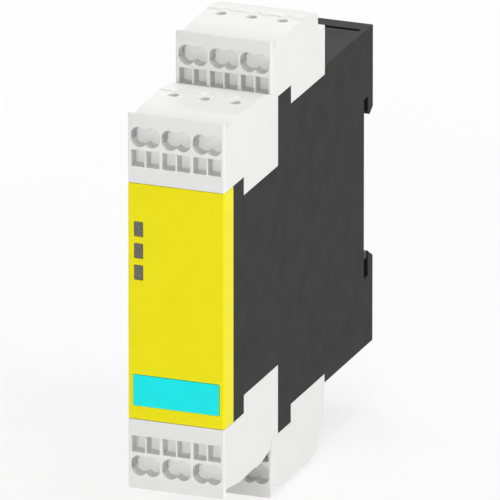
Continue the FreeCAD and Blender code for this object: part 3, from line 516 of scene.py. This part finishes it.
# A block's conductor entry: below the outer edge, beside the middle of its pole, and the openings' depth
ENTRY_DROP = 5.34 * MM
ENTRY_RADIUS = 1.9 * MM
ENTRY_SHIFT = 1.48 * MM
ENTRY_STRAIGHT = 0.8 * MM
OPENING_DEPTH = 3.2 * MM

LEAF_THICKNESS = 0.34 * MM
LEAF_THIN_SHARE = 0.45
LEAF_TEETH = 5
LEAF_START = 0.55 * MM
LEAF_END_GAP = 0.01 * MM
LEAF_WALL_GAP = 0.02 * MM
LEAF_ARC = (math.radians(112), math.radians(196))


def leaf_outline(x, z):
    """The end of a clamp's toothed leaf, along the upper left of an entry's wall."""
    first, last = LEAF_ARC
    steps = LEAF_TEETH * 2
    reach = ENTRY_RADIUS - LEAF_WALL_GAP
    outer, inner = [], []
    for n in range(steps + 1):
        angle = first + (last - first) * n / steps
        lift = ENTRY_STRAIGHT / 2 if angle < math.pi else -ENTRY_STRAIGHT / 2
        near = reach - LEAF_THICKNESS * (1.0 if n % 2 else LEAF_THIN_SHARE)
        for side, radius in ((outer, reach), (inner, near)):
            side.append((x + radius * math.cos(angle), z + lift + radius * math.sin(angle)))
    return outer + inner[::-1]


def add_clamp_leaves():
    """The toothed end of each clamp, seen at the wall of its conductor entry."""
    for tag, up in BLOCKS:
        low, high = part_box(f"terminal_block_{tag}")
        edge = outer_edge(low, high, up)
        shape = bmesh.new()
        for pole in POLES:
            outline = leaf_outline(pole - ENTRY_SHIFT, edge - up * ENTRY_DROP)
            prism(shape, outline, low.y + LEAF_START, low.y + OPENING_DEPTH - LEAF_END_GAP)
        piece_from(f"clamp_leaves_{tag}", shape, "spring_steel", "module")


RIB_BITE = 0.15 * MM
RIB_ROOT = 0.2 * MM
RIB_SETBACK = 0.03 * MM
RIB_DEPTH = 0.6 * MM
RIB_LENGTH = 9.3 * MM


def add_carrier_ribs():
    """Crush ribs that centre each clamp carrier in its block and close the seam in the outer openings."""
    for tag, up in BLOCKS:
        low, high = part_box(f"clamp_carrier_{tag}")
        top = outer_edge(low, high, up)
        foot = top - up * RIB_LENGTH
        shape = bmesh.new()
        for side, out in ((low.x, -1), (high.x, 1)):
            tip, root = side + out * RIB_BITE, side - out * RIB_ROOT
            outline = [(tip, foot), (root, foot), (root, top), (tip, top)]
            prism(shape, outline, low.y + RIB_SETBACK, low.y + RIB_DEPTH)
        piece_from(f"carrier_ribs_{tag}", shape, "carrier", "module")


TEST_HOLE_DEPTH = 17.3 * MM
HOLE_FLOOR_DROP = 3.0 * MM
DISH_SIDES = 24

# Radius and height of each ring of a dished contact, in millimetres
DISH_RINGS = [(1.0, 0.0), (1.0, 0.25), (0.86, 0.38), (0.5, 0.3), (0.3, 0.05)]


def add_dish(shape, centre, up):
    """A dished disc turned from its rings, closed below and at its middle."""
    loops = []
    for radius, height in DISH_RINGS:
        loop = []
        for n in range(DISH_SIDES):
            angle = 2 * math.pi * n / DISH_SIDES
            offset = Vector((math.cos(angle) * radius * MM, math.sin(angle) * radius * MM, up * height * MM))
            loop.append(shape.verts.new(centre + offset))
        loops.append(loop)
    for first, second in zip(loops, loops[1:]):
        for n in range(DISH_SIDES):
            m = (n + 1) % DISH_SIDES
            shape.faces.new((first[n], first[m], second[m], second[n]))
    shape.faces.new(loops[0][::-1])
    shape.faces.new(loops[-1])


def add_test_contacts():
    """A dished metal contact on the floor of each test hole."""
    for tag, up in BLOCKS:
        low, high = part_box(f"terminal_block_{tag}")
        base = outer_edge(low, high, up) - up * HOLE_FLOOR_DROP
        shape = bmesh.new()
        for pole in POLES:
            add_dish(shape, Vector((pole, low.y + TEST_HOLE_DEPTH, base)), up)
        piece_from(f"test_contacts_{tag}", shape, "contact", "module")


def add_latch_spring():
    """The spring copied into a piece of its own that rides on the module, in place of the CAD node."""
    node = NODES["latch_spring"]
    low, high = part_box("latch_spring")
    shape = bmesh.new()
    shape.from_mesh(node.data)
    bmesh.ops.remove_doubles(shape, verts=shape.verts, dist=SAME_POINT)
    piece = piece_from("meander_spring", shape, "spring_steel", "module")
    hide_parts("latch_spring")
    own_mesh(piece)


# Studio

# The photo's frame and scale, and the direction of its parallel view
PIXELS = 500
PIXELS_PER_MM = 4.5574
CAMERA_AZIMUTH = math.radians(20.87)
CAMERA_ELEVATION = math.radians(19.42)
CAMERA_AIM = Vector((-0.48, -40.0, -5.32)) * MM
LENS = 1600.0
SENSOR = 36.0
CLIP_RANGE = (0.5, 2)

# Lamps as name, place, side in metres and watts, all aimed at one point
LIT_POINT = Vector((0, -40 * MM, 0))
WORLD_LIGHT = 0.28
SOFTBOXES = [
    ("key", (0.95, -0.12, 0.42), 0.5, 5.1),
    ("top", (0.05, -0.05, 1.0), 0.5, 4.3),
    ("front", (0.12, -1.1, 0.28), 0.4, 3.8),
    ("rim", (-0.34, 0.85, 0.42), 0.4, 0.65),
    ("fill", (-0.9, 0.25, 0.35), 0.5, 2.6),
]

# The floor glows to white away from the object: its share of glow near it, and where that grows to full
NEAR_GLOW = 0.72
GLOW_REACH = (0.06, 0.36)
FLOOR_REACH = 1.6
FLOOR_SHADES = ((0.88, 0.88, 0.88), (0.91, 0.91, 0.91))


def aim(thing, target):
    thing.rotation_euler = (target - thing.location).to_track_quat("-Z", "Y").to_euler()


def add_camera():
    data = bpy.data.cameras.new("camera")
    data.lens = LENS
    data.sensor_width = SENSOR
    camera = add_object("camera", data)
    width = PIXELS / PIXELS_PER_MM * MM
    distance = width * LENS / SENSOR
    back = Vector(
        (
            math.sin(CAMERA_AZIMUTH) * math.cos(CAMERA_ELEVATION),
            -math.cos(CAMERA_AZIMUTH) * math.cos(CAMERA_ELEVATION),
            math.sin(CAMERA_ELEVATION),
        )
    )
    camera.location = CAMERA_AIM + back * distance
    aim(camera, CAMERA_AIM)
    data.clip_start, data.clip_end = (distance * share for share in CLIP_RANGE)
    bpy.context.scene.camera = camera


def add_softbox(name, place, size, watts):
    data = bpy.data.lights.new(name, "AREA")
    data.shape = "SQUARE"
    data.size = size
    data.energy = watts
    lamp = add_object(name, data)
    lamp.location = place
    aim(lamp, LIT_POINT)


def add_world():
    world = bpy.data.worlds.new("studio")
    bpy.context.scene.world = world
    world.use_nodes = True
    g = Tree(world.node_tree)
    background = g.tree.nodes["Background"]
    background.inputs["Color"].default_value = (1, 1, 1, 1)
    level = g.add("ShaderNodeMapRange")
    level.inputs["To Min"].default_value = WORLD_LIGHT
    level.inputs["To Max"].default_value = 1.0
    g.join(g.plain_ray(), level.inputs["Value"])
    g.join(level.outputs["Result"], background.inputs["Strength"])


def floor_material():
    """Pale matt ground that keeps the object's shadow and glows to white further out."""
    g = Graph("floor")
    g.feed(Base_Color=g.blend(g.spread(g.noise(size=60 * MM, detail=3), 0, 1), *FLOOR_SHADES))
    g.set(Roughness=0.85, Specular_IOR_Level=0.1)
    glow = g.add("ShaderNodeEmission")
    glow.inputs["Strength"].default_value = 1.0
    distance = g.add("ShaderNodeVectorMath", operation="LENGTH")
    g.join(g.place, distance.inputs[0])
    far = g.spread(distance.outputs["Value"], NEAR_GLOW, 1.0, *GLOW_REACH)
    mix = g.add("ShaderNodeMixShader")
    g.join(g.maths("MULTIPLY", far, g.plain_ray()), mix.inputs["Fac"])
    g.join(g.shader.outputs["BSDF"], mix.inputs[1])
    g.join(glow.outputs["Emission"], mix.inputs[2])
    g.join(mix.outputs["Shader"], g.tree.nodes["Material Output"].inputs["Surface"])
    return g.material


def add_floor(level):
    shape = bmesh.new()
    corners = [(-1, -1), (1, -1), (1, 1), (-1, 1)]
    shape.faces.new([shape.verts.new((x * FLOOR_REACH, y * FLOOR_REACH, level)) for x, y in corners])
    mesh = bpy.data.meshes.new("floor")
    shape.to_mesh(mesh)
    shape.free()
    floor = add_object("floor", mesh)
    floor.data.materials.append(floor_material())


def add_studio():
    add_camera()
    add_world()
    add_floor(cad_low.z)
    for box in SOFTBOXES:
        add_softbox(*box)
    bpy.context.scene.view_settings.view_transform = "Standard"


dress_nodes()
add_clamp_leaves()
add_carrier_ribs()
add_test_contacts()
add_latch_spring()
add_studio()
